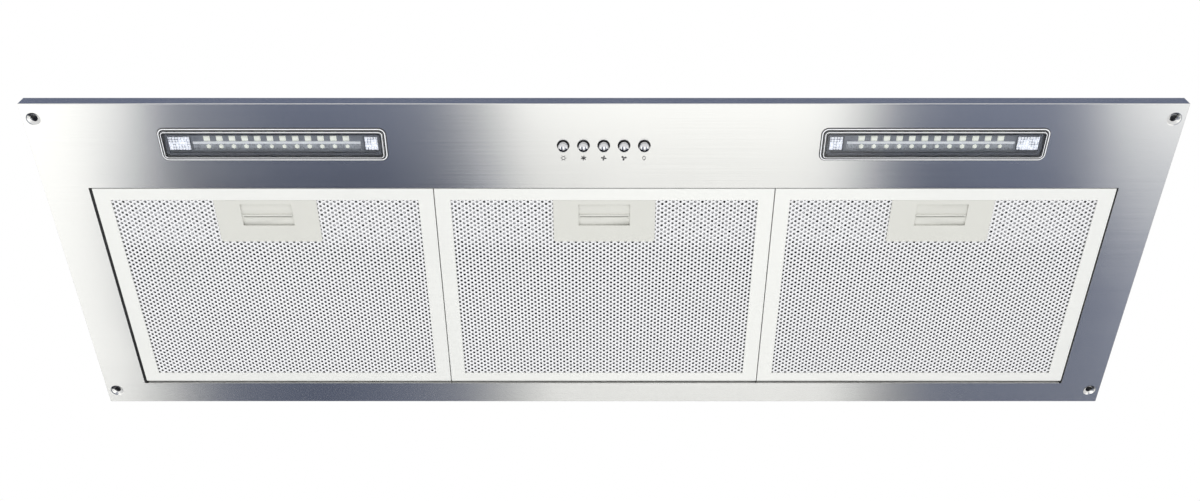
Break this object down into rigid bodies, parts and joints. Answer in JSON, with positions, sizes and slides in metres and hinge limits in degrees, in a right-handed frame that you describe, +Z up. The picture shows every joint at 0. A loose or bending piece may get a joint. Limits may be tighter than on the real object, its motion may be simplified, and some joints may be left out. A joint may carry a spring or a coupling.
{
  "type": "under cabinet range hood",
  "caption": "Under-cabinet range hood: flat brushed steel fascia with hinged perforated grease filters, strip lamps and push buttons, below a boxed blower with a round duct collar.",
  "frame": {"origin": "centre of the four corner screw holes, level with the fascia's lower face; the screw heads seat 1.6 mm above it, in the dimples", "axes": "+X along the front edge, +Y to the wall, +Z up into the cabinet"},
  "size_m": [0.86, 0.285, 0.2315],
  "materials": {
    "brushed_stainless": "brushed along the length, satin",
    "galvanised_sheet": "galvanised steel sheet with faint spangle",
    "zinc_plate": "bright zinc plate",
    "spring_steel": "hard drawn spring steel",
    "lamp_white_plastic": "white moulded plastic",
    "lamp_board": "white solder mask on a circuit board",
    "lamp_led": "pale yellow LED package",
    "lamp_lens": "clear moulded lens, slightly smoky",
    "black_plastic": "black nylon, fine grain",
    "button_chrome": "bright chrome plate",
    "grey_plastic": "grey moulded plastic",
    "capacitor_case": "white plastic can",
    "wire_sheath": "black PVC sheath",
    "scroll_plastic": "pale grey moulded polypropylene",
    "motor_enamel": "black enamel",
    "shaft_steel": "ground steel",
    "filter_frame_alloy": "pale satin aluminium channel",
    "filter_mesh_alloy": "perforated aluminium sheet over expanded mesh",
    "latch_plastic": "warm grey moulded plastic, satin"
  },
  "bodies": {
    "hood_body": {"fascia_panel": "brushed_stainless", "lower_casing": "galvanised_sheet", "upper_casing": "galvanised_sheet", "bay_partition": "galvanised_sheet", "screw_sleeves": "black_plastic", "stud_nuts": "zinc_plate", "casing_screws": "zinc_plate", "latch_strikes": "spring_steel", "lamp_housing_left": "lamp_white_plastic", "lamp_housing_right": "lamp_white_plastic", "lamp_board_left": "lamp_board", "lamp_board_right": "lamp_board", "lamp_leds_left": "lamp_led", "lamp_leds_right": "lamp_led", "lamp_lens_left": "lamp_lens", "lamp_lens_right": "lamp_lens", "button_guide": "black_plastic", "switch_body": "black_plastic", "button_springs": "spring_steel", "lamp_driver": "lamp_white_plastic", "terminal_box": "grey_plastic", "terminal_cover": "grey_plastic", "terminal_block": "lamp_white_plastic", "cable_gland": "black_plastic", "capacitor": "capacitor_case", "capacitor_clip": "galvanised_sheet", "wiring_harness": "wire_sheath", "scroll_left": "scroll_plastic", "scroll_right": "scroll_plastic", "inlet_ring_left": "galvanised_sheet", "inlet_ring_right": "galvanised_sheet", "motor_body": "motor_enamel", "motor_bracket": "galvanised_sheet", "blower_screws": "zinc_plate", "duct_collar": "galvanised_sheet", "collar_screws": "zinc_plate"},
    "impeller_rotor": {"impeller": "scroll_plastic", "motor_shaft": "shaft_steel"},
    "front_flap": {"damper_flap_front": "grey_plastic"},
    "rear_flap": {"damper_flap_rear": "grey_plastic"},
    "light_button": {"button_light": "button_chrome"},
    "high_button": {"button_high": "button_chrome"},
    "medium_button": {"button_medium": "button_chrome"},
    "low_button": {"button_low": "button_chrome"},
    "off_button": {"button_off": "button_chrome"},
    "left_filter": {"filter_frame_left": "filter_frame_alloy", "filter_mesh_left": "filter_mesh_alloy", "latch_plate_left": "latch_plastic", "latch_spring_left": "spring_steel"},
    "left_latch": {"latch_slider_left": "latch_plastic"},
    "centre_filter": {"filter_frame_centre": "filter_frame_alloy", "filter_mesh_centre": "filter_mesh_alloy", "latch_plate_centre": "latch_plastic", "latch_spring_centre": "spring_steel"},
    "centre_latch": {"latch_slider_centre": "latch_plastic"},
    "right_filter": {"filter_frame_right": "filter_frame_alloy", "filter_mesh_right": "filter_mesh_alloy", "latch_plate_right": "latch_plastic", "latch_spring_right": "spring_steel"},
    "right_latch": {"latch_slider_right": "latch_plastic"}
  },
  "joints": [
    {"name": "left_filter_hinge", "type": "hinge", "parent": "hood_body", "child": "left_filter", "pos_m": [-0.2623, 0.1183, 0.0033], "axis": [1, 0, 0], "range_deg": [0, 85], "deforming": ["latch_strikes"]},
    {"name": "centre_filter_hinge", "type": "hinge", "parent": "hood_body", "child": "centre_filter", "pos_m": [0.0005, 0.1183, 0.0033], "axis": [1, 0, 0], "range_deg": [0, 85], "deforming": ["latch_strikes"]},
    {"name": "right_filter_hinge", "type": "hinge", "parent": "hood_body", "child": "right_filter", "pos_m": [0.2633, 0.1183, 0.0033], "axis": [1, 0, 0], "range_deg": [0, 85], "deforming": ["latch_strikes"]},
    {"name": "left_latch_slide", "type": "slide", "parent": "left_filter", "child": "left_latch", "axis": [0, 1, 0], "range_m": [0, 0.005], "stiffness_N_per_m": 300, "springref_m": -0.002, "deforming": ["latch_spring_left"]},
    {"name": "centre_latch_slide", "type": "slide", "parent": "centre_filter", "child": "centre_latch", "axis": [0, 1, 0], "range_m": [0, 0.005], "stiffness_N_per_m": 300, "springref_m": -0.002, "deforming": ["latch_spring_centre"]},
    {"name": "right_latch_slide", "type": "slide", "parent": "right_filter", "child": "right_latch", "axis": [0, 1, 0], "range_m": [0, 0.005], "stiffness_N_per_m": 300, "springref_m": -0.002, "deforming": ["latch_spring_right"]},
    {"name": "light_button_press", "type": "slide", "parent": "hood_body", "child": "light_button", "axis": [0, 0, 1], "range_m": [0, 0.0035], "stiffness_N_per_m": 400, "springref_m": -0.002, "deforming": ["button_springs"]},
    {"name": "high_button_press", "type": "slide", "parent": "hood_body", "child": "high_button", "axis": [0, 0, 1], "range_m": [0, 0.0035], "stiffness_N_per_m": 400, "springref_m": -0.002, "deforming": ["button_springs"]},
    {"name": "medium_button_press", "type": "slide", "parent": "hood_body", "child": "medium_button", "axis": [0, 0, 1], "range_m": [0, 0.0035], "stiffness_N_per_m": 400, "springref_m": -0.002, "deforming": ["button_springs"]},
    {"name": "low_button_press", "type": "slide", "parent": "hood_body", "child": "low_button", "axis": [0, 0, 1], "range_m": [0, 0.0035], "stiffness_N_per_m": 400, "springref_m": -0.002, "deforming": ["button_springs"]},
    {"name": "off_button_press", "type": "slide", "parent": "hood_body", "child": "off_button", "axis": [0, 0, 1], "range_m": [0, 0.0035], "stiffness_N_per_m": 400, "springref_m": -0.002, "deforming": ["button_springs"]},
    {"name": "impeller_spin", "type": "hinge", "parent": "hood_body", "child": "impeller_rotor", "pos_m": [0, 0.002, 0.104], "axis": [1, 0, 0], "continuous": true},
    {"name": "front_flap_hinge", "type": "hinge", "parent": "hood_body", "child": "front_flap", "pos_m": [0, 0.042, 0.196], "axis": [-1, 0, 0], "range_deg": [0, 80]},
    {"name": "rear_flap_hinge", "type": "hinge", "parent": "hood_body", "child": "rear_flap", "pos_m": [0, 0.048, 0.196], "axis": [1, 0, 0], "range_deg": [0, 80]}
  ]
}
